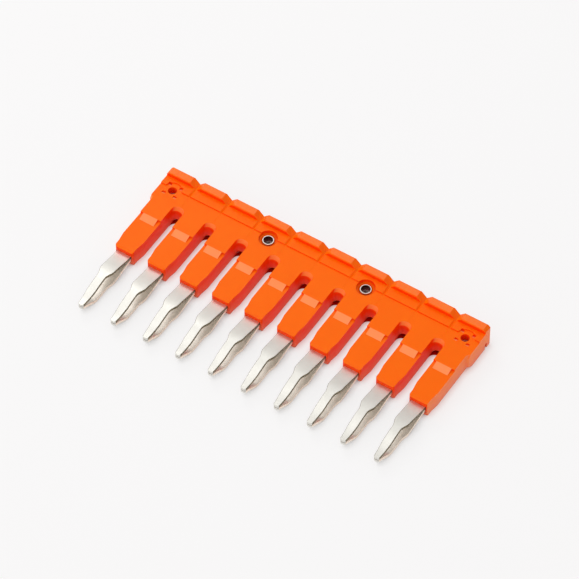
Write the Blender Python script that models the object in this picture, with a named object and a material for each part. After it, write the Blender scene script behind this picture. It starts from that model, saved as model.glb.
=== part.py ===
"""Ten-pole jumper bar for rail terminals: one insulating comb moulded round two sprung contact combs.

Frame: +X runs along the row of poles, the prongs point to -Y, +Z is up.
The origin is on the resting plane, under the middle of the whole part.
Every length is in metres. Sizes named REACH are measured forward from the back face.
"""

import math
from collections import namedtuple

import bmesh
import bpy

# Row of poles
POLE_COUNT = 10
PITCH = 0.0051
END_CUTBACK = 0.0005
PIN_HOLE_SPACING = 3

# Side profile of the insulating comb, from the back face forward
LIP_HEIGHT = 0.00386
LIP_DEPTH = 0.00122
LEDGE_HEIGHT = 0.00315
LEDGE_REACH = 0.00265
PLATE_HEIGHT = 0.00297
PLATE_REACH = 0.0082
FINGER_HEIGHT = 0.00265
FINGER_REACH = 0.0146
EDGE_CHAMFER = 0.00012
NOSE_CHAMFER = 0.00022

# Groove in the underside, in front of the lip
PULL_GROOVE_START = 0.00075
PULL_GROOVE_WIDTH = 0.00045
PULL_GROOVE_DEPTH = 0.001

# Slots between the fingers
SLOT_WIDTH = 0.00185
SLOT_REACH = 0.0052
SLOT_CORNER_RADIUS = 0.00085
SLOT_RAMP_LENGTH = 0.0004
SLOT_RAMP_DEPTH = 0.0005
UNDERCUT_LENGTH = 0.0009
UNDERCUT_HEIGHT = 0.0007
NOSE_RADIUS = 0.0003
CORNER_SEGMENTS = 6

# Narrowing of each finger, its start measured back from the finger's nose
WAIST_SETBACK = 0.00225
WAIST_LENGTH = 0.0013
WAIST_INSET = 0.0002

# Ramp from the plate down to the top of each finger
RAMP_WIDTH = 0.0023
RAMP_LENGTH = 0.00105

# Grooves that mark the border between two poles
POLE_MARK_BITE = 0.00003
POLE_MARK_HALF_ANGLE = math.radians(45)

# Pin holes, in which the contact combs show
PIN_HOLE_REACH = 0.00297
RECESS_RADIUS = 0.0013
INNER_RECESS_DEPTH = 0.0003
INNER_HOLE_RADIUS = 0.00078
INNER_HOLE_CHAMFER = 0.00026
OUTER_HOLE_RADIUS = 0.00062
UNDER_HOLE_RADIUS = 0.00055
PIT_WIDTH = 0.0005
PIT_LENGTH = 0.00045
PIT_DEPTH = 0.0003
PIT_OFFSET_X = 0.00088
PIT_OFFSET_Y = 0.00082
HOLE_SEGMENTS = 28

# Contact combs
SHEET_THICKNESS = 0.0004
FIT_GAP = 0.0001
FLOOR_GAP = 0.00002
SPINE_REACH = 0.0018
SPINE_DEPTH = 0.0026
SPINE_HOLE_RADIUS = 0.00042
CONTACT_HEIGHT = 0.00129

# Widths of a leaf and the round of its tip's corners
LEAF_WIDTH = 0.00226
SHOULDER_WIDTH = 0.00206
UPPER_NECK_WIDTH = 0.00122
LOWER_NECK_WIDTH = 0.00148
TIP_WIDTH = 0.00084
TIP_RADIUS = 0.00026

# Free part of a leaf, measured forward from the finger's nose; its bow starts inside the finger
BOW_SETBACK = 0.0004
SHOULDER_START = 0.0038
SHOULDER_LENGTH = 0.0015
TAPER_START = 0.0076
LEAF_END = 0.0102

# Bows of the two leaves, on the same measure; the lower one runs level past its crest
UPPER_CREST = 0.0049
UPPER_BOW_END = 0.0098
LOWER_CREST = 0.0046
LOWER_LEVEL_LENGTH = 0.003
LOWER_BOW_END = 0.01015

# Fineness of the leaf's outline
SHOULDER_STEPS = 6
BOW_STEPS = 9
TIP_STEPS = 5
SLOPE_STEP = 0.0001

# Cutters stand past the faces that they open, and joined solids run into each other
OVERCUT = 0.001
OVERLAP = 0.0001

# Derived sizes
HALF_LENGTH = POLE_COUNT * PITCH / 2 - END_CUTBACK
WAIST_REACH = FINGER_REACH - WAIST_SETBACK
BOW_START_REACH = FINGER_REACH - BOW_SETBACK
SHOULDER_REACH = FINGER_REACH + SHOULDER_START
TAPER_REACH = FINGER_REACH + TAPER_START
LEAF_REACH = FINGER_REACH + LEAF_END
UPPER_CREST_REACH = FINGER_REACH + UPPER_CREST
UPPER_END_REACH = FINGER_REACH + UPPER_BOW_END
LOWER_CREST_REACH = FINGER_REACH + LOWER_CREST
LOWER_FALL_REACH = LOWER_CREST_REACH + LOWER_LEVEL_LENGTH
LOWER_END_REACH = FINGER_REACH + LOWER_BOW_END
TIP_CORNER_REACH = LEAF_REACH - TIP_RADIUS
SHEET_OFFSET = (SHEET_THICKNESS + FIT_GAP) / 2
BOW_RISE = CONTACT_HEIGHT - SHEET_THICKNESS - FIT_GAP / 2 - FLOOR_GAP
CAVITY_HALF_HEIGHT = SHEET_THICKNESS + FIT_GAP / 2 + FIT_GAP
BACK_FACE_Y = LEAF_REACH / 2
BODY_TOP = LIP_HEIGHT + OVERCUT

# What sets the two combs' leaves apart; side is 1 above and -1 below
Leaf = namedtuple("Leaf", "side crest fall end neck")
UPPER_LEAF = Leaf(1, UPPER_CREST_REACH, UPPER_CREST_REACH, UPPER_END_REACH, UPPER_NECK_WIDTH)
LOWER_LEAF = Leaf(-1, LOWER_CREST_REACH, LOWER_FALL_REACH, LOWER_END_REACH, LOWER_NECK_WIDTH)


def clear_scene():
    """Removes whatever the file holds."""
    for item in list(bpy.data.objects):
        bpy.data.objects.remove(item, do_unlink=True)


def at_reach(reach):
    """World Y of a distance measured forward from the back face."""
    return BACK_FACE_Y - reach


def pole_x(index):
    """World X of a pole's middle, poles counted from 0."""
    return (index - (POLE_COUNT - 1) / 2) * PITCH


def border_x(index):
    """World X of a border between poles; 0 and POLE_COUNT are the row's outer borders."""
    return (index - POLE_COUNT / 2) * PITCH


def make_material(name, colour, roughness, metallic):
    """Principled material with one colour."""
    material = bpy.data.materials.new(name)
    material.use_nodes = True
    shader = material.node_tree.nodes["Principled BSDF"]
    shader.inputs["Base Color"].default_value = (*colour, 1.0)
    shader.inputs["Roughness"].default_value = roughness
    shader.inputs["Metallic"].default_value = metallic
    return material


def add_object(name, mesh_builder, material=None):
    """Writes a bmesh to a new object with its faces pointing out."""
    bmesh.ops.recalc_face_normals(mesh_builder, faces=mesh_builder.faces)
    mesh = bpy.data.meshes.new(name)
    mesh_builder.to_mesh(mesh)
    mesh_builder.free()
    item = bpy.data.objects.new(name, mesh)
    bpy.context.collection.objects.link(item)
    if material is not None:
        mesh.materials.append(material)
    return item


def add_prism(mesh_builder, near, far):
    """Adds a closed prism between two outlines that have the same number of points."""
    low = [mesh_builder.verts.new(point) for point in near]
    high = [mesh_builder.verts.new(point) for point in far]
    mesh_builder.faces.new(low)
    mesh_builder.faces.new(high)
    for i in range(len(low)):
        j = (i + 1) % len(low)
        mesh_builder.faces.new((low[i], low[j], high[j], high[i]))


def add_upright_prism(mesh_builder, outline, low, high):
    """Adds a prism whose plan is a list of (x, y) points."""
    add_prism(mesh_builder, [(x, y, low) for x, y in outline], [(x, y, high) for x, y in outline])


def add_side_prism(mesh_builder, profile, left, right):
    """Adds a prism whose side profile is a list of (reach, height) points."""
    near = [(left, at_reach(reach), height) for reach, height in profile]
    far = [(right, at_reach(reach), height) for reach, height in profile]
    add_prism(mesh_builder, near, far)


def add_turned(mesh_builder, centre, profile, segments):
    """Adds a solid of revolution round an upright axis; the profile is (radius, height) from low to high."""
    rings = []
    for radius, height in profile:
        ring = []
        for i in range(segments):
            angle = math.tau * i / segments
            x = centre[0] + radius * math.cos(angle)
            y = centre[1] + radius * math.sin(angle)
            ring.append(mesh_builder.verts.new((x, y, height)))
        rings.append(ring)
    mesh_builder.faces.new(rings[0])
    mesh_builder.faces.new(rings[-1])
    for below, above in zip(rings, rings[1:]):
        for i in range(segments):
            j = (i + 1) % segments
            mesh_builder.faces.new((below[i], below[j], above[j], above[i]))


def add_boolean(target, tool, operation):
    """Adds an exact Boolean to the target and marks the other object as its tool."""
    modifier = target.modifiers.new(tool.name, "BOOLEAN")
    modifier.operation = operation
    modifier.solver = "EXACT"
    modifier.object = tool
    tool.hide_render = True
    tool.display_type = "WIRE"


def housing_profile():
    """Side profile of the moulding: flat underside, lip, ledge, plate and finger."""
    edge, nose = EDGE_CHAMFER, NOSE_CHAMFER
    groove_end = PULL_GROOVE_START + PULL_GROOVE_WIDTH
    return [
        (edge, 0.0),
        (PULL_GROOVE_START, 0.0),
        (PULL_GROOVE_START, PULL_GROOVE_DEPTH),
        (groove_end, PULL_GROOVE_DEPTH),
        (groove_end, 0.0),
        (FINGER_REACH - nose, 0.0),
        (FINGER_REACH, nose),
        (FINGER_REACH, FINGER_HEIGHT - nose),
        (FINGER_REACH - nose, FINGER_HEIGHT),
        (PLATE_REACH, FINGER_HEIGHT),
        (PLATE_REACH, PLATE_HEIGHT),
        (LEDGE_REACH, PLATE_HEIGHT),
        (LEDGE_REACH, LEDGE_HEIGHT),
        (LIP_DEPTH, LEDGE_HEIGHT),
        (LIP_DEPTH, LIP_HEIGHT - edge),
        (LIP_DEPTH - edge, LIP_HEIGHT),
        (edge, LIP_HEIGHT),
        (0.0, LIP_HEIGHT - edge),
        (0.0, edge),
    ]


def build_blank(material):
    """The moulding before its slots, grooves and holes are opened."""
    blank = bmesh.new()
    add_side_prism(blank, housing_profile(), -HALF_LENGTH, HALF_LENGTH)
    return add_object("housing", blank, material)


def build_ramps():
    """One wedge on each finger, from the plate's front edge down to the finger's top."""
    wedges = bmesh.new()
    sunk = FINGER_HEIGHT - OVERLAP
    back = PLATE_REACH - RAMP_LENGTH
    profile = [
        (back, sunk),
        (PLATE_REACH + RAMP_LENGTH, sunk),
        (PLATE_REACH + RAMP_LENGTH, FINGER_HEIGHT),
        (PLATE_REACH, PLATE_HEIGHT),
        (back, PLATE_HEIGHT),
    ]
    for index in range(POLE_COUNT):
        middle = pole_x(index)
        add_side_prism(wedges, profile, middle - RAMP_WIDTH / 2, middle + RAMP_WIDTH / 2)
    return add_object("ramp_wedges", wedges)


def corner_arc(centre_across, centre_reach, radius, start):
    """Quarter circle from the angle start on, as (offset from the slot's middle, reach) points."""
    points = []
    for i in range(CORNER_SEGMENTS + 1):
        angle = start + math.pi / 2 * i / CORNER_SEGMENTS
        points.append((centre_across + radius * math.sin(angle), centre_reach - radius * math.cos(angle)))
    return points


def slot_side():
    """One side of a slot as (offset from the slot's middle, reach), from its closed end to past the nose."""
    half = SLOT_WIDTH / 2
    wide = half + WAIST_INSET
    corner = SLOT_CORNER_RADIUS
    points = corner_arc(half - corner, SLOT_REACH + corner, corner, 0.0)
    points.append((half, WAIST_REACH))
    points.append((wide, WAIST_REACH + WAIST_LENGTH))
    for i in range(CORNER_SEGMENTS + 1):
        angle = math.pi / 2 * i / CORNER_SEGMENTS
        across = wide + NOSE_RADIUS * (1 - math.cos(angle))
        points.append((across, FINGER_REACH - NOSE_RADIUS * (1 - math.sin(angle))))
    points.append((wide + NOSE_RADIUS, FINGER_REACH + OVERCUT))
    return points


def both_sides(middle, side):
    """Closed plan outline at a border, from one side's points."""
    right = [(middle + across, at_reach(reach)) for across, reach in side]
    left = [(middle - across, at_reach(reach)) for across, reach in reversed(side)]
    return right + left


def build_slots():
    """Slots at every border, the outermost two being half slots that step the row's ends in."""
    slots = bmesh.new()
    for index in range(POLE_COUNT + 1):
        add_upright_prism(slots, both_sides(border_x(index), slot_side()), -OVERCUT, BODY_TOP)
    return add_object("slot_cutter", slots)


def add_leaning_plug(mesh_builder, middle, foot, end, lean):
    """Adds a plug as wide as a slot's round end, which leans back from the height foot to the height end."""
    corner = SLOT_CORNER_RADIUS
    side = corner_arc(SLOT_WIDTH / 2 - corner, SLOT_REACH + corner, corner, 0.0)
    side.append((SLOT_WIDTH / 2, SLOT_REACH + 2 * corner))
    outline = both_sides(middle, side)
    start = foot - math.copysign(OVERLAP, end - foot)
    near = [(x, y - lean * OVERLAP, start) for x, y in outline]
    far = [(x, y + lean * abs(end - foot), end) for x, y in outline]
    add_prism(mesh_builder, near, far)


def build_slot_ramps():
    """Plugs that slope each slot's closed end at the top and undercut it at the bottom."""
    plugs = bmesh.new()
    foot = PLATE_HEIGHT - SLOT_RAMP_DEPTH
    for index in range(POLE_COUNT + 1):
        middle = border_x(index)
        add_leaning_plug(plugs, middle, foot, BODY_TOP, SLOT_RAMP_LENGTH / SLOT_RAMP_DEPTH)
        add_leaning_plug(plugs, middle, UNDERCUT_HEIGHT, -OVERCUT, UNDERCUT_LENGTH / UNDERCUT_HEIGHT)
    return add_object("slot_ramp_cutter", plugs)


def build_pole_marks():
    """V grooves from the back face to the slots; they notch the lip and the ledge and score the plate."""
    marks = bmesh.new()
    bottom = PLATE_HEIGHT - POLE_MARK_BITE
    half = (BODY_TOP - bottom) * math.tan(POLE_MARK_HALF_ANGLE)
    back = at_reach(-OVERCUT)
    front = at_reach(SLOT_REACH)
    for index in range(POLE_COUNT + 1):
        middle = border_x(index)
        section = [(middle, bottom), (middle + half, BODY_TOP), (middle - half, BODY_TOP)]
        add_prism(marks, [(x, back, z) for x, z in section], [(x, front, z) for x, z in section])
    return add_object("pole_mark_cutter", marks)


def pin_hole_poles():
    """Poles that carry a pin hole, and whether each is an outermost one."""
    poles = range(0, POLE_COUNT, PIN_HOLE_SPACING)
    return [(index, index in (0, POLE_COUNT - 1)) for index in poles]


def pin_hole_profile(outermost):
    """Profile of a pin hole as (radius, height): plain below the combs, wider above, recessed at the top."""
    if outermost:
        floor = PLATE_HEIGHT
        shaft = [(OUTER_HOLE_RADIUS, CONTACT_HEIGHT), (OUTER_HOLE_RADIUS, floor)]
    else:
        floor = PLATE_HEIGHT - INNER_RECESS_DEPTH
        shaft = [
            (INNER_HOLE_RADIUS, CONTACT_HEIGHT),
            (INNER_HOLE_RADIUS, floor - INNER_HOLE_CHAMFER),
            (INNER_HOLE_RADIUS + INNER_HOLE_CHAMFER, floor),
        ]
    below = [(UNDER_HOLE_RADIUS, -OVERCUT), (UNDER_HOLE_RADIUS, CONTACT_HEIGHT)]
    recess = [(RECESS_RADIUS, floor), (RECESS_RADIUS, BODY_TOP)]
    return below + shaft + recess


def build_pin_holes():
    """Holes from the top down to the combs and on through the underside."""
    holes = bmesh.new()
    for index, outermost in pin_hole_poles():
        centre = (pole_x(index), at_reach(PIN_HOLE_REACH))
        add_turned(holes, centre, pin_hole_profile(outermost), HOLE_SEGMENTS)
    return add_object("pin_hole_cutter", holes)


def build_pits():
    """Four small pits round each outermost pin hole, upright at the back and rising to the front."""
    pits = bmesh.new()
    rise = PIT_DEPTH / PIT_LENGTH
    for index, outermost in pin_hole_poles():
        if not outermost:
            continue
        for across in (-PIT_OFFSET_X, PIT_OFFSET_X):
            for along in (-PIT_OFFSET_Y, PIT_OFFSET_Y):
                middle = pole_x(index) + across
                back = PIN_HOLE_REACH + along - PIT_LENGTH / 2
                top = PLATE_HEIGHT + OVERCUT
                front = back + PIT_LENGTH + OVERCUT / rise
                profile = [(back, PLATE_HEIGHT - PIT_DEPTH), (front, top), (back, top)]
                add_side_prism(pits, profile, middle - PIT_WIDTH / 2, middle + PIT_WIDTH / 2)
    return add_object("pit_cutter", pits)


def build_cavity():
    """Comb-shaped space in the moulding that the two contact combs fill, open at the finger noses."""
    cavity = bmesh.new()
    side = SPINE_DEPTH + FIT_GAP
    back = SPINE_REACH - FIT_GAP
    front = SPINE_REACH + side
    half = LEAF_WIDTH / 2 + FIT_GAP
    end = pole_x(POLE_COUNT - 1) + half
    outline = [(-end, at_reach(back))]
    for index in range(POLE_COUNT):
        middle = pole_x(index)
        if index:
            outline.append((middle - half, at_reach(front)))
        outline.append((middle - half, at_reach(FINGER_REACH + OVERCUT)))
        outline.append((middle + half, at_reach(FINGER_REACH + OVERCUT)))
        if index < POLE_COUNT - 1:
            outline.append((middle + half, at_reach(front)))
    outline.append((end, at_reach(back)))
    low = CONTACT_HEIGHT - CAVITY_HALF_HEIGHT
    high = CONTACT_HEIGHT + CAVITY_HALF_HEIGHT
    add_upright_prism(cavity, outline, low, high)
    return add_object("cavity_cutter", cavity)


def build_housing(material):
    """The insulating comb: blank, ramps, slots, pole marks, holes and the cavity for the contacts."""
    housing = build_blank(material)
    add_boolean(housing, build_ramps(), "UNION")
    add_boolean(housing, build_slots(), "DIFFERENCE")
    add_boolean(housing, build_slot_ramps(), "DIFFERENCE")
    add_boolean(housing, build_pole_marks(), "DIFFERENCE")
    add_boolean(housing, build_pin_holes(), "DIFFERENCE")
    add_boolean(housing, build_pits(), "DIFFERENCE")
    add_boolean(housing, build_cavity(), "DIFFERENCE")
    return housing


def ease(t):
    """Smooth step from 0 to 1 with level ends."""
    t = min(max(t, 0.0), 1.0)
    return t * t * (3 - 2 * t)


def leaf_lift(leaf, reach):
    """How far a leaf's middle surface stands from its flat part, at a reach."""
    if reach <= leaf.crest:
        return BOW_RISE * ease((reach - BOW_START_REACH) / (leaf.crest - BOW_START_REACH))
    return BOW_RISE * ease((leaf.end - reach) / (leaf.end - leaf.fall))


def leaf_half_width(leaf, reach):
    """Half the width of a leaf at a reach: flat part, shoulders, neck, taper and rounded tip."""
    if reach <= BOW_START_REACH:
        return LEAF_WIDTH / 2
    if reach <= SHOULDER_REACH:
        share = (reach - BOW_START_REACH) / (SHOULDER_REACH - BOW_START_REACH)
        return (LEAF_WIDTH + (SHOULDER_WIDTH - LEAF_WIDTH) * share) / 2
    if reach <= TAPER_REACH:
        narrowing = ease((reach - SHOULDER_REACH) / SHOULDER_LENGTH)
        return (SHOULDER_WIDTH + (leaf.neck - SHOULDER_WIDTH) * narrowing) / 2
    if reach <= TIP_CORNER_REACH:
        share = (reach - TAPER_REACH) / (TIP_CORNER_REACH - TAPER_REACH)
        return (leaf.neck + (TIP_WIDTH - leaf.neck) * share) / 2
    rounding = math.sqrt(max(TIP_RADIUS ** 2 - (reach - TIP_CORNER_REACH) ** 2, 0.0))
    return TIP_WIDTH / 2 - TIP_RADIUS + rounding


def leaf_stations():
    """Reaches at which the leaf's section is set out, from the spine's front edge to the tip."""
    stations = [SPINE_REACH + SPINE_DEPTH, BOW_START_REACH]
    for i in range(1, BOW_STEPS):
        stations.append(BOW_START_REACH + (TAPER_REACH - BOW_START_REACH) * i / BOW_STEPS)
    for i in range(SHOULDER_STEPS + 1):
        stations.append(SHOULDER_REACH + SHOULDER_LENGTH * i / SHOULDER_STEPS)
    for i in range(BOW_STEPS + 1):
        stations.append(TAPER_REACH + (TIP_CORNER_REACH - TAPER_REACH) * i / BOW_STEPS)
    for i in range(1, TIP_STEPS + 1):
        angle = math.pi / 2 * i / TIP_STEPS
        stations.append(TIP_CORNER_REACH + TIP_RADIUS * math.sin(angle))
    return sorted(set(stations))


def leaf_ring(mesh_builder, leaf, middle, reach):
    """Four corners of a leaf's section, square to its bent surface."""
    climb = leaf_lift(leaf, reach + SLOPE_STEP) - leaf_lift(leaf, reach - SLOPE_STEP)
    slope = math.atan(climb / (2 * SLOPE_STEP))
    half = leaf_half_width(leaf, reach)
    ring = []
    for across, along in ((-half, -1), (half, -1), (half, 1), (-half, 1)):
        shift = along * SHEET_THICKNESS / 2
        y = at_reach(reach - shift * math.sin(slope))
        z = SHEET_OFFSET + leaf_lift(leaf, reach) + shift * math.cos(slope)
        ring.append(mesh_builder.verts.new((middle + across, y, CONTACT_HEIGHT + leaf.side * z)))
    return ring


def join_rings(mesh_builder, first, second):
    """Four faces between two sections."""
    for i in range(4):
        j = (i + 1) % 4
        mesh_builder.faces.new((first[i], first[j], second[j], second[i]))


def add_comb(mesh_builder, leaf):
    """Spine with a leaf for every pole, in one closed sheet."""
    inner = FIT_GAP / 2
    heights = [CONTACT_HEIGHT + leaf.side * z for z in (inner, inner + SHEET_THICKNESS)]
    end = pole_x(POLE_COUNT - 1) + LEAF_WIDTH / 2
    corners = []
    for x in (-end, end):
        corners.append([mesh_builder.verts.new((x, at_reach(SPINE_REACH), z)) for z in heights])
    roots = []
    stations = leaf_stations()
    for index in range(POLE_COUNT):
        rings = [leaf_ring(mesh_builder, leaf, pole_x(index), reach) for reach in stations]
        for first, second in zip(rings, rings[1:]):
            join_rings(mesh_builder, first, second)
        mesh_builder.faces.new(rings[-1])
        roots.append(rings[0])
    inner_row = [vert for root in roots for vert in (root[0], root[1])]
    outer_row = [vert for root in roots for vert in (root[3], root[2])]
    mesh_builder.faces.new([corners[0][0]] + inner_row + [corners[1][0]])
    mesh_builder.faces.new([corners[0][1]] + outer_row + [corners[1][1]])
    mesh_builder.faces.new((corners[0][0], corners[1][0], corners[1][1], corners[0][1]))
    mesh_builder.faces.new((corners[0][0], inner_row[0], outer_row[0], corners[0][1]))
    mesh_builder.faces.new((corners[1][0], inner_row[-1], outer_row[-1], corners[1][1]))
    for i in range(1, len(inner_row) - 1, 2):
        mesh_builder.faces.new((inner_row[i], inner_row[i + 1], outer_row[i + 1], outer_row[i]))


def build_spine_holes():
    """Pilot holes in the combs' spines, under the pin holes."""
    holes = bmesh.new()
    profile = [(SPINE_HOLE_RADIUS, -OVERCUT), (SPINE_HOLE_RADIUS, BODY_TOP)]
    for index, _ in pin_hole_poles():
        add_turned(holes, (pole_x(index), at_reach(PIN_HOLE_REACH)), profile, HOLE_SEGMENTS)
    return add_object("spine_hole_cutter", holes)


def build_combs(material):
    """The two contact combs, back to back."""
    cutter = build_spine_holes()
    for name, leaf in (("upper_contact_comb", UPPER_LEAF), ("lower_contact_comb", LOWER_LEAF)):
        sheet = bmesh.new()
        add_comb(sheet, leaf)
        comb = add_object(name, sheet, material)
        add_boolean(comb, cutter, "DIFFERENCE")


def main():
    """Builds the whole part."""
    clear_scene()
    orange = make_material("orange_polyamide", (1.0, 0.16, 0.008), 0.42, 0.0)
    plated = make_material("tin_plated_copper", (0.78, 0.76, 0.71), 0.28, 1.0)
    build_housing(orange)
    build_combs(plated)


main()
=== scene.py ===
"""Look of a ten-pole jumper bar for rail terminals.

An orange moulded comb carries ten sprung, tin-plated prongs. Lengths are in metres. +X runs along
the poles, the prongs point to -Y and +Z is up. A "reach" is a distance measured forward, towards
-Y, from the back face of the moulding.
"""

from __future__ import annotations

import logging
import math
from dataclasses import dataclass, field
from enum import Enum

import bmesh
import bpy
from mathutils import Matrix, Vector

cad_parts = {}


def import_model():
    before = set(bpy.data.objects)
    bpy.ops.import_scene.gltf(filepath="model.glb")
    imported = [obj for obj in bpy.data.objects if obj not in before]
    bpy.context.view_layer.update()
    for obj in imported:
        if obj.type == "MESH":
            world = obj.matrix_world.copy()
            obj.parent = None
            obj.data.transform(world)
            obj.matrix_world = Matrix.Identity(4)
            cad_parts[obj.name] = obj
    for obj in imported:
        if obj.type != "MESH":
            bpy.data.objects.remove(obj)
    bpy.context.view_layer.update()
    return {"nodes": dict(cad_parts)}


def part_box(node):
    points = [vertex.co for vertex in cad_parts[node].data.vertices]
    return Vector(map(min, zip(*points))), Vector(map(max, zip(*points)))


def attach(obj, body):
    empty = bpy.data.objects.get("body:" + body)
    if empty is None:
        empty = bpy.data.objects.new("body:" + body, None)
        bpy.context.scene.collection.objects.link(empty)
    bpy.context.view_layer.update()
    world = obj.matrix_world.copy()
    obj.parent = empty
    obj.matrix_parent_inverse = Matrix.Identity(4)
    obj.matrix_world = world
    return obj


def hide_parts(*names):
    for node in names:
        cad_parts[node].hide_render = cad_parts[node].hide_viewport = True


LOG = logging.getLogger("jumper_bar")
MM = 0.001
# Sockets of a Mix node for colours, whose names are shared with its other data types.
MIX_FIRST, MIX_SECOND, MIX_RESULT = 6, 7, 2
# Sockets of a Compare node for whole numbers, which shares their names in the same way.
COMPARE_FIRST, COMPARE_SECOND = 2, 3
FINISH_LAYER = "finish"


def linear_colour(code: str) -> tuple[float, float, float, float]:
    """Turns an sRGB hex code into linear colour.

    Args:
        code: Six hex digits, such as "FF7016".

    Returns:
        Red, green and blue from 0 to 1, and an alpha of 1.
    """
    parts = [int(code[i : i + 2], 16) / 255 for i in (0, 2, 4)]
    linear = [c / 12.92 if c <= 0.04045 else ((c + 0.055) / 1.055) ** 2.4 for c in parts]
    return (linear[0], linear[1], linear[2], 1.0)


def add_node(
    tree: bpy.types.NodeTree,
    kind: str,
    settings: dict[str, object] | None = None,
    values: dict[str | int, object] | None = None,
    links: dict[str | int, bpy.types.NodeSocket] | None = None,
) -> bpy.types.Node:
    """Adds a node with its settings, socket values and incoming links.

    Args:
        tree: The node tree that gets the node.
        kind: The node's type name.
        settings: Attributes of the node itself.
        values: Constant values by input name or number.
        links: Output sockets to link, by input name or number.

    Returns:
        The new node.
    """
    node = tree.nodes.new(kind)
    for name, value in (settings or {}).items():
        setattr(node, name, value)
    for name, value in (values or {}).items():
        node.inputs[name].default_value = value
    for name, socket in (links or {}).items():
        tree.links.new(socket, node.inputs[name])
    return node


def empty_material(name: str) -> tuple[bpy.types.Material, bpy.types.NodeTree]:
    """Makes a material whose node tree is empty.

    Args:
        name: The material's name.

    Returns:
        The material and its node tree.
    """
    material = bpy.data.materials.new(name)
    material.use_nodes = True
    material.node_tree.nodes.clear()
    return material, material.node_tree


def new_object(name: str, data: bpy.types.ID) -> bpy.types.Object:
    """Adds an object to the scene.

    Args:
        name: The object's name.
        data: Its mesh, lamp or camera.

    Returns:
        The new object, at the origin.
    """
    item = bpy.data.objects.new(name, data)
    bpy.context.scene.collection.objects.link(item)
    return item


def object_from(name: str, shape: bmesh.types.BMesh) -> bpy.types.Object:
    """Turns a bmesh into an object at the origin.

    Args:
        name: The object's name.
        shape: The bmesh, which is freed.

    Returns:
        The new object.
    """
    mesh = bpy.data.meshes.new(name)
    shape.to_mesh(mesh)
    shape.free()
    return new_object(name, mesh)


def baked(piece: bpy.types.Object) -> bpy.types.Object:
    """Turns a piece's modifiers into plain mesh.

    Args:
        piece: The object whose modifiers are applied; it is replaced.

    Returns:
        A plain object of the same name.
    """
    graph = bpy.context.evaluated_depsgraph_get()
    mesh = bpy.data.meshes.new_from_object(piece.evaluated_get(graph))
    name = piece.name
    bpy.data.objects.remove(piece, do_unlink=True)
    return new_object(name, mesh)


def ease(share: float) -> float:
    """Smooth step from 0 to 1 with level ends."""
    share = min(max(share, 0.0), 1.0)
    return share * share * (3 - 2 * share)


def band(
    shape: bmesh.types.BMesh, first: list[bmesh.types.BMVert], second: list[bmesh.types.BMVert]
) -> list[bmesh.types.BMFace]:
    """Joins two closed rings of vertices by a band of faces.

    Args:
        shape: The bmesh that gets the faces.
        first: The vertices of one ring, in order.
        second: The matching vertices of the other ring.

    Returns:
        One face for each side of the ring, in order.
    """
    faces = []
    for i in range(len(first)):
        j = (i + 1) % len(first)
        faces.append(shape.faces.new((first[i], first[j], second[j], second[i])))
    return faces


class FaceTint(Enum):
    """Names of the face attributes that paint highlights and shade into the plastic's colour, each
    from 0 to 1.
    """

    PAINTED_HIGHLIGHT = "painted_highlight_share"
    FLASH = "painted_shade_share"


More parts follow.
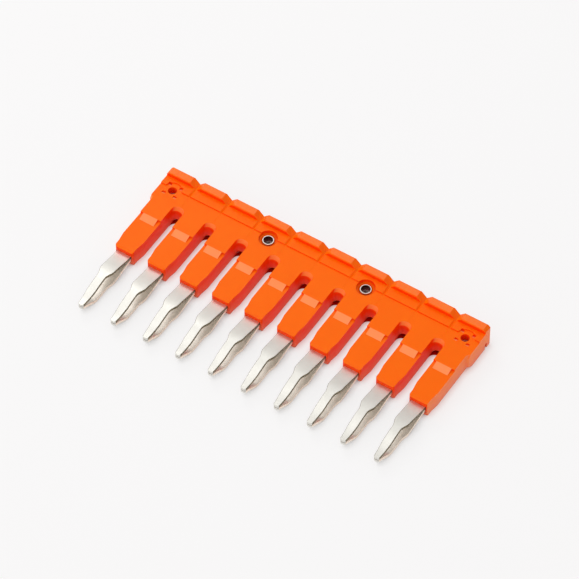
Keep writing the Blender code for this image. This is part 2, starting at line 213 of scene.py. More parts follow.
@dataclass(frozen=True)
class MouldedPolyamide:
    """Flame-retardant orange polyamide 6.6, injection moulded in a finely eroded tool.

    The eye gets a saturated, slightly waxy orange, which light enters a little. Flat tops are
    nearly matt. A deeper red copy for the walls paints their shade, and a paler tint towards
    their foot paints the reflection of the pale table. The "glow" is the light that comes back out.
    """

    label: str = "polyamide_moulded_orange"
    body: str = "FF6C00"
    shade: str = "FA6600"
    # Paler colour that paints highlights and reflections on the faces the attribute marks.
    painted_highlight: str = "FF9055"
    # Dark red that paints shade into the wide bores and onto the crescents at the slots' ends.
    flash: str = "A81400"
    # Pink that paints the reflection of the pale table on the walls towards their foot.
    painted_reflection: str = "FF8A6C"
    painted_reflection_share: float = 0.0
    painted_reflection_heights: tuple[float, float] = (1.9 * MM, 0.5 * MM)
    cloud_mm: float = 3.2
    grain_mm: float = 0.16
    grain_depth: float = 0.02 * MM
    grain_relief: float = 0.12
    roughness: float = 0.4
    roughness_spread: float = 0.05
    sheen_level: float = 0.09
    glow_share: float = 0.3
    glow_colours: tuple[float, float, float] = (1.0, 0.25, 0.05)
    glow_depth: float = 0.5 * MM

    def material(self) -> bpy.types.Material:
        """Builds the material.

        Returns:
            The finished material.
        """
        made, tree = empty_material(self.label)
        place = add_node(tree, "ShaderNodeTexCoord").outputs["Object"]
        cloud = add_node(
            tree,
            "ShaderNodeTexNoise",
            values={"Scale": 1 / (self.cloud_mm * MM), "Detail": 3.0, "Roughness": 0.55},
            links={"Vector": place},
        ).outputs["Fac"]
        colour = add_node(
            tree,
            "ShaderNodeMix",
            {"data_type": "RGBA"},
            {MIX_FIRST: linear_colour(self.body), MIX_SECOND: linear_colour(self.shade)},
            {"Factor": cloud},
        ).outputs[MIX_RESULT]
        painted_highlight, flash = (
            add_node(tree, "ShaderNodeAttribute", {"attribute_name": layer.value}).outputs["Fac"]
            for layer in FaceTint
        )
        height = add_node(tree, "ShaderNodeSeparateXYZ", links={"Vector": place}).outputs["Z"]
        top, foot = self.painted_reflection_heights
        near_foot = add_node(
            tree,
            "ShaderNodeMapRange",
            values={"From Min": top, "From Max": foot, "To Max": self.painted_reflection_share},
            links={"Value": height},
        ).outputs["Result"]
        # Painted highlights make some faces paler, painted shade darkens the wide bores and the
        # crescents at the slots' ends, and a painted reflection of the table makes the walls paler
        # towards their foot.
        for share, code in ((painted_highlight, self.painted_highlight), (flash, self.flash), (near_foot, self.painted_reflection)):
            colour = add_node(
                tree,
                "ShaderNodeMix",
                {"data_type": "RGBA"},
                {MIX_SECOND: linear_colour(code)},
                {"Factor": share, MIX_FIRST: colour},
            ).outputs[MIX_RESULT]
        gloss = add_node(
            tree,
            "ShaderNodeMapRange",
            values={
                "To Min": self.roughness - self.roughness_spread,
                "To Max": self.roughness + self.roughness_spread,
            },
            links={"Value": cloud},
        ).outputs["Result"]
        # The eroded grain is about 0.02 mm; it is drawn eight times coarser so that it shows.
        grain = add_node(
            tree,
            "ShaderNodeTexNoise",
            values={"Scale": 1 / (self.grain_mm * MM), "Detail": 2.0, "Roughness": 0.6},
            links={"Vector": place},
        ).outputs["Fac"]
        relief = add_node(
            tree,
            "ShaderNodeBump",
            values={"Strength": self.grain_relief, "Distance": self.grain_depth},
            links={"Height": grain},
        ).outputs["Normal"]
        shader = add_node(
            tree,
            "ShaderNodeBsdfPrincipled",
            values={
                "Specular IOR Level": self.sheen_level,
                "Subsurface Weight": self.glow_share,
                "Subsurface Radius": self.glow_colours,
                "Subsurface Scale": self.glow_depth,
            },
            links={"Base Color": colour, "Roughness": gloss, "Normal": relief},
        )
        add_node(tree, "ShaderNodeOutputMaterial", links={"Surface": shader.outputs["BSDF"]})
        return made


@dataclass(frozen=True)
class TinnedStrip:
    """Tin-plated spring copper, rolled as strip and stamped.

    The eye gets a soft, slightly warm grey metal: the matt tin blurs what it reflects, with faint
    rolling lines along the prong and cloudy patches where the plating is thicker. The faces that
    the two leaves turn to each other carry a thinner, duller coat.
    """

    label: str = "copper_strip_tin_plated"
    bright: str = "E8E6E0"
    dull: str = "D9D6CE"
    cloud_mm: float = 1.1
    line_mm: float = 0.14
    line_scale: tuple[float, float, float] = (1.0, 0.05, 0.3)
    line_depth: float = 0.01 * MM
    line_relief: float = 0.1
    roughness: float = 0.42
    roughness_spread: tuple[float, float] = (0.08, 0.12)

    def material(self) -> bpy.types.Material:
        """Builds the material.

        Returns:
            The finished material.
        """
        made, tree = empty_material(self.label)
        place = add_node(tree, "ShaderNodeTexCoord").outputs["Object"]
        cloud = add_node(
            tree,
            "ShaderNodeTexNoise",
            values={"Scale": 1 / (self.cloud_mm * MM), "Detail": 4.0, "Roughness": 0.6},
            links={"Vector": place},
        )
        tint = add_node(
            tree,
            "ShaderNodeMix",
            {"data_type": "RGBA"},
            {MIX_FIRST: linear_colour(self.bright), MIX_SECOND: linear_colour(self.dull)},
            {"Factor": cloud.outputs["Fac"]},
        )
        # Rolling lines are a few hundredths of a millimetre apart; they are drawn coarser to show.
        along = add_node(
            tree,
            "ShaderNodeMapping",
            values={"Scale": self.line_scale},
            links={"Vector": place},
        )
        lines = add_node(
            tree,
            "ShaderNodeTexNoise",
            values={"Scale": 1 / (self.line_mm * MM), "Detail": 3.0, "Roughness": 0.6},
            links={"Vector": along.outputs["Vector"]},
        ).outputs["Fac"]
        low, high = self.roughness_spread
        gloss = add_node(
            tree,
            "ShaderNodeMapRange",
            values={"To Min": self.roughness - low, "To Max": self.roughness + high},
            links={"Value": lines},
        )
        relief = add_node(
            tree,
            "ShaderNodeBump",
            values={"Strength": self.line_relief, "Distance": self.line_depth},
            links={"Height": lines},
        )
        shader = add_node(
            tree,
            "ShaderNodeBsdfPrincipled",
            values={"Metallic": 1.0},
            links={
                "Base Color": tint.outputs[MIX_RESULT],
                "Roughness": gloss.outputs["Result"],
                "Normal": relief.outputs["Normal"],
            },
        )
        add_node(tree, "ShaderNodeOutputMaterial", links={"Surface": shader.outputs["BSDF"]})
        return made


@dataclass(frozen=True)
class ShearedEdge:
    """The cut edge of the strip, sheared after plating.

    The eye gets a creamy line, brighter than the flat, where the punch burnished the copper alloy
    and smeared tin over it. A dull brown copy with upright streaks on the upper comb's edges
    paints the shade there, and partly the zone where the strip broke away.
    Dark and reddish, it also paints the shade in the bore of a collar.
    """

    label: str = "copper_strip_sheared_edge"
    colour: str = "FFF0E2"
    streak_colour: str = "F3DCC8"
    roughness: float = 0.26
    roughness_spread: tuple[float, float] = (0.06, 0.1)
    streak_mm: float = 0.12
    streak_scale: tuple[float, float, float] = (1.0, 1.0, 0.1)
    streak_range: tuple[float, float] = (0.4, 0.6)

    def material(self) -> bpy.types.Material:
        """Builds the material.

        Returns:
            The finished material.
        """
        made, tree = empty_material(self.label)
        place = add_node(tree, "ShaderNodeTexCoord").outputs["Object"]
        upright = add_node(
            tree,
            "ShaderNodeMapping",
            values={"Scale": self.streak_scale},
            links={"Vector": place},
        )
        streaks = add_node(
            tree,
            "ShaderNodeTexNoise",
            values={"Scale": 1 / (self.streak_mm * MM), "Detail": 2.0},
            links={"Vector": upright.outputs["Vector"]},
        ).outputs["Fac"]
        faint, strong = self.streak_range
        contrast = add_node(
            tree,
            "ShaderNodeMapRange",
            values={"From Min": faint, "From Max": strong},
            links={"Value": streaks},
        )
        tint = add_node(
            tree,
            "ShaderNodeMix",
            {"data_type": "RGBA"},
            {MIX_FIRST: linear_colour(self.colour), MIX_SECOND: linear_colour(self.streak_colour)},
            {"Factor": contrast.outputs["Result"]},
        )
        low, high = self.roughness_spread
        gloss = add_node(
            tree,
            "ShaderNodeMapRange",
            values={"To Min": self.roughness - low, "To Max": self.roughness + high},
            links={"Value": streaks},
        )
        shader = add_node(
            tree,
            "ShaderNodeBsdfPrincipled",
            values={"Metallic": 1.0},
            links={"Base Color": tint.outputs[MIX_RESULT], "Roughness": gloss.outputs["Result"]},
        )
        add_node(tree, "ShaderNodeOutputMaterial", links={"Surface": shader.outputs["BSDF"]})
        return made


@dataclass
class InsulatingComb:
    """The orange moulding: lip, ledge, plate, ten hollow fingers, pole marks and pin holes."""

    back_face_y: float
    pitch: float = 5.1 * MM
    plate_height: float = 2.97 * MM
    score_size: float = 0.05 * MM
    height_margin: float = 0.05 * MM
    # Edges sharper than the edge angle are rounded; the curve angles are the solid's facets.
    edge_radius: float = 0.08 * MM
    edge_steps: int = 3
    edge_profile: float = 0.5
    edge_angle: float = math.radians(16)
    curve_angles: tuple[float, float] = (math.radians(12), math.radians(16))
    flat_angle: float = math.radians(0.5)
    weld: float = 0.0005 * MM
    # The pocket that the plastic forms round the metal.
    metal_height: float = 1.29 * MM
    pocket_half_height: float = 0.55 * MM
    pocket_half_width: float = 1.23 * MM
    pocket_shrink: float = 0.075 * MM
    pocket_snap: float = 0.002 * MM
    pocket_keep: float = 0.05
    # Which faces are walls and which get painted highlights, by the parts of their normals and by
    # place.
    level_normal: float = 0.9
    wall_normal: float = 0.5
    slope_normal: float = 0.3
    slope_forward: float = -0.16
    lip_painted_highlight: float = 0.35
    end_painted_highlight: float = 0.8
    slope_painted_highlight: float = 0.4
    ramp_half_width: float = 1.16 * MM
    slot_aside: float = 1.6 * MM
    painted_highlight_span: tuple[float, float] = (-1.5 * MM, 7.5 * MM)
    lip_top: float = 3.8 * MM
    end_wall_x: float = 24.3 * MM
    pits_aside: float = 22.95 * MM
    pits_ring: tuple[float, float] = (0.7 * MM, 2.2 * MM)
    bore_reach: float = 2.97 * MM
    bore_aside: float = 7.65 * MM
    bore_radius: float = 1.2 * MM
    bore_painted_shade: float = 0.3
    # Dark crescents at the slots' closed ends: sheets of painted shade.
    slots: int = 9
    slot_reach: float = 5.2 * MM
    shade_crescent_radius: float = 0.9 * MM
    shade_crescent_span: tuple[float, float] = (-0.22 * MM, 0.76 * MM)
    shade_crescent_heights: tuple[float, float] = (0.02 * MM, 0.07 * MM)
    shade_crescent_steps: int = 10
    top_finish: MouldedPolyamide = field(default_factory=MouldedPolyamide)
    # The walls' copy is a deeper red, which paints their shade, and paler towards their foot, which
    # paints the table's reflection.
    shaded_wall_finish: MouldedPolyamide = field(
        default_factory=lambda: MouldedPolyamide(
            label="polyamide_walls_painted_shade",
            body="FF4400",
            shade="FA3C00",
            painted_reflection_share=0.6,
            sheen_level=0.06,
        )
    )

    def is_curve(self, angle: float) -> bool:
        """Whether two faces that meet at this angle stand for one curved surface."""
        return self.curve_angles[0] < angle < self.curve_angles[1]

    def is_score(self, edge: bmesh.types.BMEdge) -> bool:
        """Whether an edge belongs to the fine line scored on the plate between two poles.

        Args:
            edge: An edge of the moulding.

        Returns:
            True for an edge of a scored line.
        """
        for vert in edge.verts:
            aside = abs(vert.co.x - round(vert.co.x / self.pitch) * self.pitch)
            if aside > self.score_size or abs(vert.co.z - self.plate_height) > self.score_size:
                return False
        return True

    def pole_near(self, x: float) -> float:
        """Where the middle of the pole at a place along the row lies."""
        return (math.floor(x / self.pitch) + 0.5) * self.pitch

    def off_axis(self, place: Vector, aside: float) -> float:
        """How far a place is from the nearer of the two pin holes that stand that far aside."""
        along = place.y - (self.back_face_y - self.bore_reach)
        return math.hypot(along, abs(place.x) - aside)

    def painted_highlight(self, face: bmesh.types.BMFace) -> float:
        """How much painted highlight a face gets: ramps, slot ends, lip top, outer walls, pits.

        Args:
            face: A face of the moulding.

        Returns:
            The share of the paler colour, which paints a highlight or a reflection.
        """
        centre = face.calc_center_median()
        normal = face.normal
        level = normal.z > self.level_normal
        sloped = normal.z > self.slope_normal
        # The top of the lip, painted with a sheen.
        if level and centre.z > self.lip_top:
            return self.lip_painted_highlight
        # The outer walls at both ends of the row, painted with the reflection of the pale table.
        upright = abs(normal.z) < self.wall_normal < abs(normal.x)
        if upright and abs(centre.x) > self.end_wall_x:
            return self.end_painted_highlight
        # The floors of the pits round the first and last pin hole, painted with a glint.
        near, far = self.pits_ring
        sunk = self.metal_height < centre.z < self.plate_height - self.height_margin
        if near < self.off_axis(centre, self.pits_aside) < far and sunk and sloped:
            return 1.0
        # What is left leans forward and gets a painted highlight: the fingers' ramps and the slots'
        # closed ends.
        front, back = self.painted_highlight_span
        if not front < centre.y < back or normal.y > self.slope_forward:
            return 0.0
        aside = abs(centre.x - self.pole_near(centre.x))
        if level and aside < self.ramp_half_width:
            return 1.0
        return self.slope_painted_highlight if sloped and aside > self.slot_aside else 0.0

    def in_wide_bore(self, face: bmesh.types.BMFace) -> bool:
        """Whether a face lies inside one of the two wide pin holes.

        Args:
            face: A face of the moulding.

        Returns:
            True for the walls and the floor of a wide hole.
        """
        centre = face.calc_center_median()
        inside = self.height_margin < centre.z < self.plate_height - self.height_margin
        return inside and self.off_axis(centre, self.bore_aside) < self.bore_radius

    def tint_faces(self, shape: bmesh.types.BMesh) -> None:
        """Marks the walls, each face's painted highlight and the painted shade in the wide bores.

        Args:
            shape: The moulding's bmesh.
        """
        painted_highlight = shape.faces.layers.float.new(FaceTint.PAINTED_HIGHLIGHT.value)
        flash = shape.faces.layers.float.new(FaceTint.FLASH.value)
        shape.normal_update()
        for face in shape.faces:
            # Upright faces get the deeper red copy of the plastic, which paints their shade.
            face.material_index = 1 if abs(face.normal.z) < self.wall_normal else 0
            # Painted highlight: a paler colour on faces that catch the light.
            face[painted_highlight] = self.painted_highlight(face)
            # The wide bores get painted shade.
            face[flash] = self.bore_painted_shade if self.in_wide_bore(face) else 0.0

    def add_shade_crescent(self, shape: bmesh.types.BMesh, middle: float) -> None:
        """Adds a thin dark crescent at the foot of a slot's closed end, a sheet of painted shade.

        Args:
            shape: The moulding's bmesh.
            middle: Where the slot's middle lies along X.
        """
        flash = shape.faces.layers.float[FaceTint.FLASH.value]
        centre = self.back_face_y - self.slot_reach - self.shade_crescent_radius
        front, back = self.shade_crescent_span
        low, high = self.shade_crescent_heights
        rings = []
        for step in range(self.shade_crescent_steps + 1):
            angle = math.pi * step / self.shade_crescent_steps
            x = middle + self.shade_crescent_radius * math.cos(angle)
            y = centre + self.shade_crescent_radius * math.sin(angle)
            corners = ((y + front, low), (y + back, low), (y + back, high), (y + front, high))
            rings.append([shape.verts.new((x, along, z)) for along, z in corners])
        faces = [shape.faces.new(rings[0]), shape.faces.new(rings[-1])]
        for first, second in zip(rings, rings[1:]):
            faces += band(shape, first, second)
        bmesh.ops.recalc_face_normals(shape, faces=faces)
        for face in faces:
            face[flash] = 1.0

    def seat_metal(self, shape: bmesh.types.BMesh) -> set[bmesh.types.BMVert]:
        """Draws the walls of the pocket up to the metal, which the plastic was moulded round.

        Args:
            shape: The moulding's bmesh.

        Returns:
            The pocket's vertices.
        """
        walls = set()
        inner = self.pocket_half_width - self.pocket_shrink
        for vert in shape.verts:
            above = vert.co.z - self.metal_height
            if abs(abs(above) - self.pocket_half_height) > self.pocket_snap:
                continue
            walls.add(vert)
            vert.co.z -= math.copysign(self.pocket_shrink, above)
            pole = self.pole_near(vert.co.x)
            aside = vert.co.x - pole
            if inner < abs(aside) < self.pocket_half_width + self.pocket_snap:
                closer = inner + (abs(aside) - inner) * self.pocket_keep
                vert.co.x = pole + math.copysign(closer, aside)
        return walls

    def build(self, solid: bpy.types.Object) -> bpy.types.Object:
        """Copies the solid, joins its loose triangles and rounds its edges as a mould does.

        Args:
            solid: The CAD solid of the moulding.

        Returns:
            The finished piece.
        """
        shape = bmesh.new()
        shape.from_mesh(solid.data)
        bmesh.ops.remove_doubles(shape, verts=shape.verts, dist=self.weld)
        bmesh.ops.dissolve_limit(
            shape, angle_limit=self.flat_angle, verts=shape.verts, edges=shape.edges
        )
        for face in shape.faces:
            face.smooth = True
        self.tint_faces(shape)
        pocket = self.seat_metal(shape)
        rounded = []
        for edge in shape.edges:
            angle = edge.calc_face_angle_signed(0.0)
            edge.smooth = self.is_curve(abs(angle))
            inside = pocket.issuperset(edge.verts)
            if angle > self.edge_angle and not inside and not self.is_score(edge):
                rounded.append(edge)
                edge.smooth = True
        bevel = bmesh.ops.bevel(
            shape,
            geom=rounded,
            offset=self.edge_radius,
            segments=self.edge_steps,
            profile=self.edge_profile,
            affect="EDGES",
            clamp_overlap=True,
        )
        strips = set(bevel["faces"])
        # Only curves and rounded edges are shaded smoothly; every plane stays flat.
        for edge in shape.edges:
            if strips.isdisjoint(edge.link_faces):
                edge.smooth = self.is_curve(edge.calc_face_angle(0.0))
        for face in shape.faces:
            if face not in strips:
                face.smooth = any(self.is_curve(edge.calc_face_angle(0.0)) for edge in face.edges)
        # Dark crescents of painted shade at the foot of the slots' closed ends.
        for number in range(self.slots):
            self.add_shade_crescent(shape, (number - (self.slots - 1) / 2) * self.pitch)
        volume = shape.calc_volume() / MM**3
        LOG.info("moulding: %d edges rounded, volume %.4f mm3", len(rounded), volume)
        piece = object_from("moulded_comb", shape)
        # Shading normals that came with the solid no longer fit the rounded mesh.
        stale = piece.data.attributes.get("custom_normal")
        if stale is not None:
            piece.data.attributes.remove(stale)
        even = piece.modifiers.new("flat_faces_stay_flat", "WEIGHTED_NORMAL")
        even.mode = "FACE_AREA"
        even.keep_sharp = True
        for finish in (self.top_finish, self.shaded_wall_finish):
            piece.data.materials.append(finish.material())
        return piece

    def fit(self, piece: bpy.types.Object) -> None:
        """Ties the piece to the CAD frame.

        Args:
            piece: The finished moulding.
        """
        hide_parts("housing")
        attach(piece, "root")


class Side(Enum):
    """Which of the two mirrored combs a piece is; the value points away from the other comb."""

    UPPER = 1
    LOWER = -1


class LeafFace(Enum):
    """What a face of a leaf is; the value is kept on the face and picks its finish."""

    OUTER = 0
    EDGE = 1
    INNER = 2

    def socket(self) -> str:
        """The name of the row tree's input for the finish of these faces."""
        return f"{self.name.capitalize()} finish"


@dataclass
class LeafShape:
    """Outline and bend of one contact leaf, as functions of the reach.

    The bow rises from its start to the crest, stays level until the fall and closes at its end.
    """

    crest: float = 19.5 * MM
    fall: float = 19.5 * MM
    bow_end: float = 24.4 * MM
    neck_width: float = 1.22 * MM
    root_reach: float = 4.2 * MM
    bow_start: float = 14.2 * MM
    end_reach: float = 24.8 * MM
    shoulder: float = 18.4 * MM
    shoulder_length: float = 1.5 * MM
    taper: float = 22.2 * MM
    flat_width: float = 2.26 * MM
    shoulder_width: float = 2.06 * MM
    tip_width: float = 0.84 * MM
    tip_radius: float = 0.26 * MM
    rise: float = 0.82 * MM
    thickness: float = 0.4 * MM
    corner: float = 0.05 * MM
    corner_share: float = 0.45
    slope_step: float = 0.02 * MM
    span_steps: tuple[int, ...] = (6, 18, 14, 26)
    tip_steps: int = 8

    def lift(self, reach: float) -> float:
        """How far the leaf's middle surface stands off its flat part.

        Args:
            reach: Distance forward from the back face.

        Returns:
            The lift in metres.
        """
        if reach <= self.crest:
            return self.rise * ease((reach - self.bow_start) / (self.crest - self.bow_start))
        return self.rise * ease((self.bow_end - reach) / (self.bow_end - self.fall))

    def slope(self, reach: float) -> float:
        """The angle at which the leaf rises, in radians."""
        rise = self.lift(reach + self.slope_step) - self.lift(reach - self.slope_step)
        return math.atan(rise / (2 * self.slope_step))

    def half_width(self, reach: float) -> float:
        """Half the leaf's width.

        Args:
            reach: Distance forward from the back face.

        Returns:
            The half width in metres.
        """
        corner = self.end_reach - self.tip_radius
        if reach > corner:
            rounding = math.sqrt(max(self.tip_radius**2 - (reach - corner) ** 2, 0.0))
            return self.tip_width / 2 - self.tip_radius + rounding
        if reach <= self.shoulder:
            first, last = self.flat_width, self.shoulder_width
            share = max(reach - self.bow_start, 0.0) / (self.shoulder - self.bow_start)
        elif reach <= self.taper:
            first, last = self.shoulder_width, self.neck_width
            share = ease((reach - self.shoulder) / self.shoulder_length)
        else:
            first, last = self.neck_width, self.tip_width
            share = (reach - self.taper) / (corner - self.taper)
        return (first + (last - first) * share) / 2

    def stations(self) -> list[float]:
        """Reaches at which the leaf's section is set out, closer together on its curves.

        Returns:
            Increasing reaches in metres.
        """
        ends = (
            self.root_reach,
            self.bow_start,
            self.shoulder,
            self.shoulder + self.shoulder_length,
            self.end_reach - self.tip_radius,
        )
        found = []
        for low, high, count in zip(ends, ends[1:], self.span_steps):
            found += [low + (high - low) * i / count for i in range(count)]
        for i in range(self.tip_steps + 1):
            turn = math.pi / 2 * i / self.tip_steps
            found.append(ends[-1] + self.tip_radius * math.sin(turn))
        return found


@dataclass
class ContactComb:
    """One stamped comb: a spine under the plate and ten sprung leaves.

    A leaf's section has three points on each of its four corners, counted from the inner side.
    The segments and the crease points are numbers of such points. The nose steps are the last
    bands of faces, which are coined and have no sheared edge.
    """

    side: Side
    back_face_y: float
    shape: LeafShape
    poles: int = 10
    pitch: float = 5.1 * MM
    mid_height: float = 1.29 * MM
    split: float = 0.1 * MM
    spine_start: float = 1.8 * MM
    spine_end: float = 4.4 * MM
    hole_reach: float = 2.97 * MM
    hole_radius: float = 0.42 * MM
    hole_spacing: int = 3
    hole_steps: int = 32
    collar_aside: float = 7.65 * MM
    collar_radii: tuple[float, float] = (0.67 * MM, 0.772 * MM)
    collar_height: float = 2.73 * MM
    collar_steps: int = 36
    # The collars' bore is dark and reddish: painted shade.
    bore_finish: ShearedEdge = field(
        default_factory=lambda: ShearedEdge(
            label="copper_bore_painted_shade", colour="8C3C38", streak_colour="602828", roughness=0.4
        )
    )
    corner_points: int = 3
    outer_segment: int = 8
    inner_segment: int = 2
    nose_steps: int = 6
    crease_points: tuple[int, ...] = (0, 2, 3, 5, 6, 8, 9, 11)
    outer_finish: TinnedStrip = field(default_factory=TinnedStrip)
    edge_finish: ShearedEdge = field(default_factory=ShearedEdge)
    inner_finish: TinnedStrip = field(
        default_factory=lambda: TinnedStrip(
            label="copper_strip_dull_inside", bright="F0EAE2", dull="DAD2C6", roughness=0.45
        )
    )

    def name(self) -> str:
        """The piece's name."""
        return f"{self.side.name.lower()}_contact_springs"

    def section(self, shape: bmesh.types.BMesh, reach: float) -> list[bmesh.types.BMVert]:
        """Adds one section of the leaf, with its corners rolled over by the punch.

        Args:
            shape: The bmesh that gets the section.
            reach: Distance forward from the back face.

        Returns:
            The section's points, in order.
        """
        leaf = self.shape
        slope = leaf.slope(reach)
        half = leaf.half_width(reach)
        corner = min(leaf.corner, half * leaf.corner_share)
        thick = leaf.thickness / 2
        middle = (self.split + leaf.thickness) / 2 + leaf.lift(reach)
        points = []
        for turn, (across, along) in enumerate(((-1, -1), (1, -1), (1, 1), (-1, 1))):
            for part in range(self.corner_points):
                angle = math.pi + (turn + part / (self.corner_points - 1)) * math.pi / 2
                x = across * (half - corner) + corner * math.cos(angle)
                off = along * (thick - corner) + corner * math.sin(angle)
                y = self.back_face_y - reach + off * math.sin(slope)
                z = self.mid_height + self.side.value * (middle + off * math.cos(slope))
                points.append(shape.verts.new((x, y, z)))
        return points

    def leaf(self) -> bpy.types.Object:
        """Builds one leaf on the middle of the row.

        Returns:
            The leaf, whose faces say what they are. The coined nose counts as outer side.
        """
        shape = bmesh.new()
        finish = shape.faces.layers.int.new(FINISH_LAYER)
        rings = [self.section(shape, reach) for reach in self.shape.stations()]
        flats = {self.outer_segment: LeafFace.OUTER, self.inner_segment: LeafFace.INNER}
        nose = len(rings) - 1 - self.nose_steps
        for number, (first, second) in enumerate(zip(rings, rings[1:])):
            rim = LeafFace.EDGE if number < nose else LeafFace.OUTER
            for i, face in enumerate(band(shape, first, second)):
                face.smooth = True
                face[finish] = flats.get(i, rim).value
            for i in self.crease_points:
                shape.edges.get((first[i], second[i])).smooth = False
        shape.faces.new(rings[0])
        shape.faces.new(rings[-1])
        bmesh.ops.recalc_face_normals(shape, faces=shape.faces)
        return object_from(self.name(), shape)

    def row_tree(self) -> bpy.types.GeometryNodeTree:
        """Geometry Nodes tree that repeats a leaf along the row of poles.

        Returns:
            The tree, whose inputs are the leaf, the pole count, the pitch and three materials.
        """
        tree = bpy.data.node_groups.new("row_of_leaves", "GeometryNodeTree")
        kinds = {"Geometry": "Geometry", "Poles": "Int", "Pitch": "Float"}
        kinds |= {face.socket(): "Material" for face in LeafFace}
        for name, kind in kinds.items():
            tree.interface.new_socket(name, in_out="INPUT", socket_type=f"NodeSocket{kind}")
        tree.interface.new_socket("Geometry", in_out="OUTPUT", socket_type="NodeSocketGeometry")
        given = add_node(tree, "NodeGroupInput").outputs
        gaps = add_node(
            tree, "ShaderNodeMath", {"operation": "SUBTRACT"}, {1: 1.0}, {0: given["Poles"]}
        ).outputs[0]
        half = add_node(
            tree, "ShaderNodeMath", {"operation": "MULTIPLY"}, {1: -0.5}, {0: gaps}
        ).outputs[0]
        first = add_node(
            tree, "ShaderNodeMath", {"operation": "MULTIPLY"}, links={0: half, 1: given["Pitch"]}
        ).outputs[0]
        start = add_node(tree, "ShaderNodeCombineXYZ", links={"X": first}).outputs[0]
        offset = add_node(tree, "ShaderNodeCombineXYZ", links={"X": given["Pitch"]}).outputs[0]
        row = add_node(
            tree,
            "GeometryNodeMeshLine",
            links={"Count": given["Poles"], "Start Location": start, "Offset": offset},
        )
        leaves = add_node(
            tree,
            "GeometryNodeInstanceOnPoints",
            links={"Points": row.outputs[0], "Instance": given["Geometry"]},
        )
        real = add_node(tree, "GeometryNodeRealizeInstances", links={"Geometry": leaves.outputs[0]})
        dressed = add_node(
            tree,
            "GeometryNodeSetMaterial",
            links={"Geometry": real.outputs[0], "Material": given[LeafFace.OUTER.socket()]},
        )
        kind = add_node(
            tree,
            "GeometryNodeInputNamedAttribute",
            {"data_type": "INT"},
            values={"Name": FINISH_LAYER},
        )
        for face in (LeafFace.EDGE, LeafFace.INNER):
            chosen = add_node(
                tree,
                "FunctionNodeCompare",
                {"data_type": "INT", "operation": "EQUAL"},
                values={COMPARE_SECOND: face.value},
                links={COMPARE_FIRST: kind.outputs[0]},
            )
            dressed = add_node(
                tree,
                "GeometryNodeSetMaterial",
                links={
                    "Geometry": dressed.outputs[0],
                    "Selection": chosen.outputs[0],
                    "Material": given[face.socket()],
                },
            )
        add_node(tree, "NodeGroupOutput", links={"Geometry": dressed.outputs[0]})
        return tree

    def spine(self) -> bpy.types.Object:
        """Builds the strip that joins the leaves, with its pilot holes.

        Returns:
            The spine, as one closed plate.
        """
        half = (self.poles - 1) / 2 * self.pitch + self.shape.flat_width / 2
        low = self.mid_height + self.side.value * self.split / 2
        high = low + self.side.value * self.shape.thickness
        plate = bmesh.new()
        corners = [(-half, self.spine_start), (half, self.spine_start)]
        corners += [(half, self.spine_end), (-half, self.spine_end)]
        rim = [plate.verts.new((x, self.back_face_y - reach, low)) for x, reach in corners]
        lid = [plate.verts.new((x, self.back_face_y - reach, high)) for x, reach in corners]
        plate.faces.new(rim)
        plate.faces.new(lid)
        band(plate, rim, lid)
        bmesh.ops.recalc_face_normals(plate, faces=plate.faces)
        piece = object_from("spine", plate)
        drill = bmesh.new()
        for pole in range(0, self.poles, self.hole_spacing):
            x = (pole - (self.poles - 1) / 2) * self.pitch
            place = Matrix.Translation((x, self.back_face_y - self.hole_reach, self.mid_height))
            bmesh.ops.create_cone(
                drill,
                cap_ends=True,
                segments=self.hole_steps,
                radius1=self.hole_radius,
                radius2=self.hole_radius,
                depth=4 * self.shape.thickness,
                matrix=place,
            )
        cutter = object_from("spine_drill", drill)
        cut = piece.modifiers.new("pilot_holes", "BOOLEAN")
        cut.operation = "DIFFERENCE"
        cut.solver = "EXACT"
        cut.object = cutter
        made = baked(piece)
        bpy.data.objects.remove(cutter, do_unlink=True)
        return made

    def collars(self, plated: bpy.types.Material) -> bpy.types.Object:
        """Builds the collars drawn up from the spine, which shine in the two wide pin holes.

        Args:
            plated: The material of the plated metal.

        Returns:
            Both collars, plated outside and with a dark reddish bore that paints the shade inside.
        """
        shape = bmesh.new()
        inner, outer = self.collar_radii
        foot = self.mid_height + self.split / 2 + self.shape.thickness / 2
        profile = [(outer, foot), (outer, self.collar_height)]
        profile += [(inner, self.collar_height), (inner, foot)]
        # A band's faces are the outer wall, the rim, the bore and the foot, in this order.
        wall, bore = 0, 2
        y = self.back_face_y - self.hole_reach
        for x in (-self.collar_aside, self.collar_aside):
            rings = []
            for step in range(self.collar_steps):
                angle = 2 * math.pi * step / self.collar_steps
                across, along = math.cos(angle), math.sin(angle)
                places = [(x + radius * across, y + radius * along, z) for radius, z in profile]
                rings.append([shape.verts.new(place) for place in places])
            for first, second in zip(rings, rings[1:] + rings[:1]):
                for i, face in enumerate(band(shape, first, second)):
                    face.smooth = i in (wall, bore)
                    face.material_index = 1 if i == bore else 0
                    shape.edges.get((first[i], second[i])).smooth = False
        bmesh.ops.recalc_face_normals(shape, faces=shape.faces)
        made = object_from("collars", shape)
        for finish in (plated, self.bore_finish.material()):
            made.data.materials.append(finish)
        return made

    def build(self) -> bpy.types.Object:
        """Builds the whole comb as one piece.

        Returns:
            The finished piece.
        """
        leaf = self.leaf()
        spread = leaf.modifiers.new("row", "NODES")
        spread.node_group = self.row_tree()
        plated = self.outer_finish.material()
        values = {
            "Poles": self.poles,
            "Pitch": self.pitch,
            LeafFace.OUTER.socket(): plated,
            LeafFace.EDGE.socket(): self.edge_finish.material(),
            LeafFace.INNER.socket(): self.inner_finish.material(),
        }
        for socket in spread.node_group.interface.items_tree:
            if socket.in_out == "INPUT" and socket.name in values:
                spread[socket.identifier] = values[socket.name]
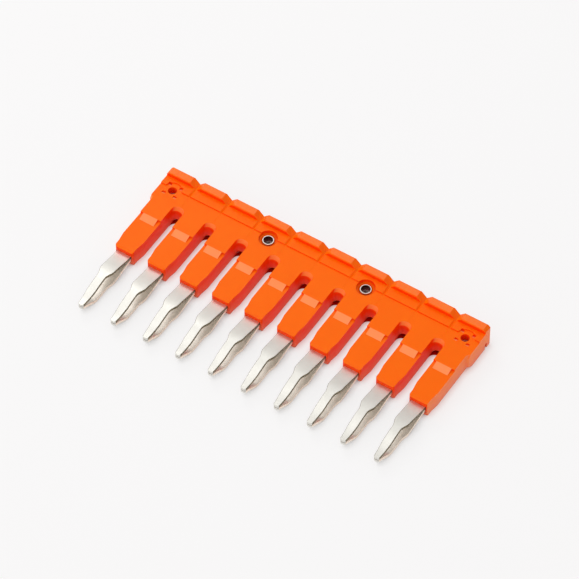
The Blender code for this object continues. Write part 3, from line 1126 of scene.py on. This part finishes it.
        # A leaf without a material would leave an empty slot in the row.
        leaf.data.materials.append(plated)
        row = baked(leaf)
        spine = self.spine()
        spine.data.materials.append(plated)
        parts = [row, spine]
        if self.side is Side.UPPER:
            parts.append(self.collars(plated))
        with bpy.context.temp_override(
            active_object=row, selected_editable_objects=parts, object=row
        ):
            bpy.ops.object.join()
        row.name = self.name()
        return row

    def fit(self, piece: bpy.types.Object) -> None:
        """Ties the piece to the CAD frame.

        Args:
            piece: The finished comb.
        """
        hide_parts(f"{self.side.name.lower()}_contact_comb")
        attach(piece, "root")


@dataclass(frozen=True)
class Softbox:
    """A square lamp that faces the object and looks evenly bright to it.

    Attributes:
        name: The lamp's name.
        towards: Direction from the object to the lamp, of any length.
        distance: Distance from the origin in metres.
        size: Edge length in metres.
        radiance: Brightness, where 1 is paper white.
    """

    name: str
    towards: tuple[float, float, float]
    distance: float
    size: float
    radiance: float

    def hang(self) -> None:
        """Adds the lamp to the scene."""
        data = bpy.data.lights.new(self.name, "AREA")
        data.shape = "SQUARE"
        data.size = self.size
        data.energy = self.radiance * math.pi * self.size**2
        direction = Vector(self.towards).normalized()
        turn = direction.to_track_quat("Z", "Y").to_matrix().to_4x4()
        item = new_object(self.name, data)
        item.matrix_world = Matrix.Translation(direction * self.distance) @ turn


@dataclass
class Studio:
    """Plain pale table, soft lamps and the camera of the photograph.

    The table is a sheet of lit white acrylic: the glow is the share of its brightness that the
    camera and gloss see without the object's soft shadow on it. Ambient occlusion fades it close
    to the object: painted contact shade, where the table's own soft shadow shows.
    """

    azimuth: float = math.radians(32.795)
    elevation: float = math.radians(51.835)
    distance: float = 563.68 * MM
    aim: tuple[float, float, float] = (-1.482 * MM, 5.076 * MM, 1.0 * MM)
    lens_mm: float = 265.23
    sensor_mm: float = 36.0
    view_range: tuple[float, float] = (0.01, 20.0)
    table_colour: str = "F8F7F7"
    table_roughness: float = 0.9
    table_sheen: float = 0.1
    table_glow: float = 0.78
    table_size: float = 4.0
    contact_reach: float = 1.0 * MM
    contact_power: float = 1.6
    contact_samples: int = 12
    air_colour: str = "FFFFFF"
    air_level: float = 0.72
    lamps: tuple[Softbox, ...] = (
        Softbox("overhead_softbox", (-0.30, -0.25, 0.92), distance=0.6, size=0.34, radiance=1.6),
        Softbox("front_softbox", (-0.335, -0.87, 0.36), distance=0.8, size=0.5, radiance=1.6),
        Softbox("near_left_softbox", (-0.60, 0.43, 0.67), distance=0.29, size=0.12, radiance=3.0),
    )

    def camera(self) -> None:
        """Places the camera at the photograph's angle and makes it the scene's."""
        forward = Vector(
            (
                -math.sin(self.azimuth) * math.cos(self.elevation),
                math.cos(self.azimuth) * math.cos(self.elevation),
                -math.sin(self.elevation),
            )
        )
        right = Vector((math.cos(self.azimuth), math.sin(self.azimuth), 0.0))
        up = right.cross(forward)
        data = bpy.data.cameras.new("photo_camera")
        data.lens = self.lens_mm
        data.sensor_width = self.sensor_mm
        data.clip_start, data.clip_end = self.view_range
        turn = Matrix((right, up, -forward)).transposed().to_4x4()
        place = Vector(self.aim) - forward * self.distance
        item = new_object("photo_camera", data)
        item.matrix_world = Matrix.Translation(place) @ turn
        bpy.context.scene.camera = item

    def table(self) -> None:
        """Lays the pale table top just under the part."""
        sheet = bmesh.new()
        bmesh.ops.create_grid(sheet, x_segments=1, y_segments=1, size=self.table_size / 2)
        item = object_from("table_top", sheet)
        made, tree = empty_material("acrylic_light_table_white")
        colour = linear_colour(self.table_colour)
        paper = add_node(
            tree,
            "ShaderNodeBsdfPrincipled",
            values={
                "Base Color": colour,
                "Roughness": self.table_roughness,
                "Specular IOR Level": self.table_sheen,
            },
        )
        glow = add_node(tree, "ShaderNodeEmission", values={"Color": colour})
        # Ambient occlusion fades the glow near the object: painted contact shade.
        open_sky = add_node(
            tree,
            "ShaderNodeAmbientOcclusion",
            {"samples": self.contact_samples},
            {"Distance": self.contact_reach},
        )
        ray = add_node(tree, "ShaderNodeLightPath").outputs
        seen = add_node(
            tree,
            "ShaderNodeMath",
            {"operation": "MAXIMUM"},
            links={0: ray["Is Camera Ray"], 1: ray["Is Glossy Ray"]},
        )
        clear = add_node(
            tree,
            "ShaderNodeMath",
            {"operation": "POWER"},
            {1: self.contact_power},
            {0: open_sky.outputs["AO"]},
        )
        shown = add_node(
            tree,
            "ShaderNodeMath",
            {"operation": "MULTIPLY"},
            {1: self.table_glow},
            {0: seen.outputs[0]},
        )
        share = add_node(
            tree,
            "ShaderNodeMath",
            {"operation": "MULTIPLY"},
            links={0: shown.outputs[0], 1: clear.outputs[0]},
        )
        mixed = add_node(
            tree,
            "ShaderNodeMixShader",
            links={0: share.outputs[0], 1: paper.outputs["BSDF"], 2: glow.outputs[0]},
        )
        add_node(tree, "ShaderNodeOutputMaterial", links={"Surface": mixed.outputs[0]})
        item.data.materials.append(made)

    def lights(self) -> None:
        """Hangs the softboxes and sets an even, dim world."""
        for lamp in self.lamps:
            lamp.hang()
        world = bpy.data.worlds.new("studio_air")
        world.use_nodes = True
        tree = world.node_tree
        tree.nodes.clear()
        air = add_node(
            tree,
            "ShaderNodeBackground",
            values={"Color": linear_colour(self.air_colour), "Strength": self.air_level},
        )
        add_node(tree, "ShaderNodeOutputWorld", links={"Surface": air.outputs[0]})
        bpy.context.scene.world = world

    def build(self) -> None:
        """Sets up the whole studio."""
        self.camera()
        self.table()
        self.lights()
        bpy.context.scene.view_settings.view_transform = "Standard"


def main() -> None:
    """Builds every piece in order and reports it."""
    logging.basicConfig(level=logging.INFO, format="%(name)s: %(message)s")
    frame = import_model()
    back_face_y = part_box("housing")[1][1]
    Studio().build()
    LOG.info("studio ready")
    moulding = InsulatingComb(back_face_y=back_face_y)
    piece = moulding.build(frame["nodes"]["housing"])
    moulding.fit(piece)
    LOG.info("%s: %d faces", piece.name, len(piece.data.polygons))
    longer_bow = LeafShape(
        crest=19.2 * MM, fall=22.2 * MM, bow_end=24.75 * MM, neck_width=1.48 * MM
    )
    # The upper comb's cut edges get a dark brown copy: painted shade, and partly the zone where the
    # strip broke away.
    shaded_edge = ShearedEdge(
        label="copper_strip_edge_painted_shade", colour="8E8168", streak_colour="5E523E", roughness=0.4
    )
    combs = ((Side.UPPER, LeafShape(), shaded_edge), (Side.LOWER, longer_bow, ShearedEdge()))
    for side, shape, edge in combs:
        comb = ContactComb(side=side, back_face_y=back_face_y, shape=shape, edge_finish=edge)
        piece = comb.build()
        comb.fit(piece)
        LOG.info("%s: %d faces", piece.name, len(piece.data.polygons))


if __name__ == "__main__":
    main()
